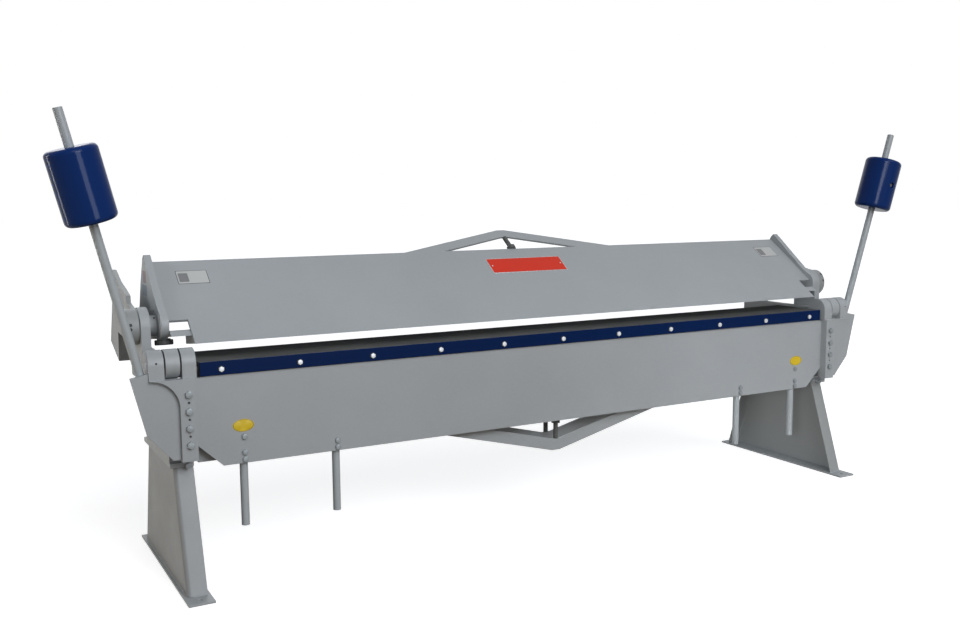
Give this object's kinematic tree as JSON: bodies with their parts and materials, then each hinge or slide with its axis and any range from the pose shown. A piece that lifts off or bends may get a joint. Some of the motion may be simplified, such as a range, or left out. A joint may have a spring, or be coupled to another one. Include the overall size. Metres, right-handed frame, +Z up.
{
  "type": "sheet metal folder",
  "caption": "Hand bending brake for sheet metal: a sloped clamping leaf over a bed, a counterweighted folding apron and two stands with channel legs.",
  "frame": {"origin": "centre of the four floor anchor holes, on the floor", "axes": "+X along the machine, +Y from the operator's side to the back, +Z up"},
  "size_m": [3.9892, 0.87, 1.6864],
  "materials": {
    "frame_grey": "satin grey paint",
    "dark_steel": "dark ground tool steel",
    "zinc_steel": "bright zinc",
    "navy_strip": "satin navy paint",
    "blue_weight": "gloss blue enamel",
    "nameplate_red": "gloss red, bare of words",
    "pin_steel": "turned steel"
  },
  "bodies": {
    "frame": {"left_foot_plate": "frame_grey", "right_foot_plate": "frame_grey", "left_leg": "frame_grey", "right_leg": "frame_grey", "leg_caps": "frame_grey", "left_frame_casting": "frame_grey", "right_frame_casting": "frame_grey", "apron_hinge_pins": "pin_steel", "link_pins": "pin_steel", "slide_covers": "frame_grey", "bed_top_plate": "frame_grey", "bed_front_web": "frame_grey", "bed_floor_plate": "frame_grey", "bed_rear_web": "frame_grey", "bed_end_plates": "frame_grey", "bed_bar": "dark_steel", "bed_rear_bar": "dark_steel", "bed_truss_strap": "frame_grey", "bed_truss_post": "dark_steel", "frame_bolts": "zinc_steel"},
    "setback": {"left_setback_block": "pin_steel", "right_setback_block": "pin_steel", "leaf_pivot_pins": "pin_steel", "setback_screws": "zinc_steel"},
    "top_leaf": {"leaf_plate": "frame_grey", "nose_bar": "dark_steel", "leaf_flange": "frame_grey", "leaf_lip": "frame_grey", "leaf_ribs": "frame_grey", "nose_bar_screws": "zinc_steel", "left_leaf_end": "frame_grey", "right_leaf_end": "frame_grey", "leaf_truss_strap": "frame_grey", "leaf_truss_post": "dark_steel", "nameplate": "nameplate_red"},
    "left_clamp": {"left_clamp_lever": "frame_grey", "left_clamp_shaft": "pin_steel"},
    "right_clamp": {"right_clamp_lever": "frame_grey", "right_clamp_shaft": "pin_steel"},
    "left_link": {"left_link": "frame_grey"},
    "right_link": {"right_link": "frame_grey"},
    "apron": {"apron_plate": "frame_grey", "apron_bar": "dark_steel", "apron_strip": "navy_strip", "strip_screws": "zinc_steel", "left_apron_casting": "frame_grey", "right_apron_casting": "frame_grey", "casting_bolts": "zinc_steel", "casting_dowels": "dark_steel", "left_lifting_handles": "frame_grey", "right_lifting_handles": "frame_grey", "handle_bolts": "zinc_steel", "apron_truss_strap": "frame_grey", "apron_truss_post": "dark_steel", "left_weight_arm": "frame_grey", "right_weight_arm": "frame_grey"},
    "left_weight": {"left_counterweight": "blue_weight", "left_weight_screw": "dark_steel"},
    "right_weight": {"right_counterweight": "blue_weight", "right_weight_screw": "dark_steel"}
  },
  "joints": [
    {"name": "setback", "type": "slide", "parent": "frame", "child": "setback", "axis": [0, 1, 0], "range_m": [0, 0.005]},
    {"name": "leaf_pivot", "type": "hinge", "parent": "setback", "child": "top_leaf", "pos_m": [0, 0.273, 0.89], "axis": [1, 0, 0], "range_deg": [0, 7.1]},
    {"name": "left_clamp_turn", "type": "hinge", "parent": "top_leaf", "child": "left_clamp", "pos_m": [0, -0.04103, 0.93355], "axis": [1, 0, 0], "range_deg": [0, 100]},
    {"name": "right_clamp_turn", "type": "hinge", "parent": "top_leaf", "child": "right_clamp", "pos_m": [0, -0.04103, 0.93355], "axis": [1, 0, 0], "range_deg": [0, 100]},
    {"name": "left_link_swing", "type": "hinge", "parent": "frame", "child": "left_link", "pos_m": [0, -0.04103, 0.722], "axis": [1, 0, 0], "range_deg": [0, 1]},
    {"name": "right_link_swing", "type": "hinge", "parent": "frame", "child": "right_link", "pos_m": [0, -0.04103, 0.722], "axis": [1, 0, 0], "range_deg": [0, 1]},
    {"name": "apron_fold", "type": "hinge", "parent": "frame", "child": "apron", "pos_m": [0, -0.234, 0.82], "axis": [-1, 0, 0], "range_deg": [0, 135]},
    {"name": "left_weight_slide", "type": "slide", "parent": "apron", "child": "left_weight", "axis": [-0.2406, -0.0631, 0.9686], "range_m": [-0.11, 0.11]},
    {"name": "right_weight_slide", "type": "slide", "parent": "apron", "child": "right_weight", "axis": [0.2406, -0.0631, 0.9686], "range_m": [-0.11, 0.11]}
  ],
  "couplings": [
    {"joint": "leaf_pivot", "follows": "left_clamp_turn", "ratio": 0.071},
    {"joint": "right_clamp_turn", "follows": "left_clamp_turn", "ratio": 1},
    {"joint": "left_link_swing", "follows": "left_clamp_turn", "ratio": 0.0098},
    {"joint": "right_link_swing", "follows": "left_clamp_turn", "ratio": 0.0098}
  ]
}
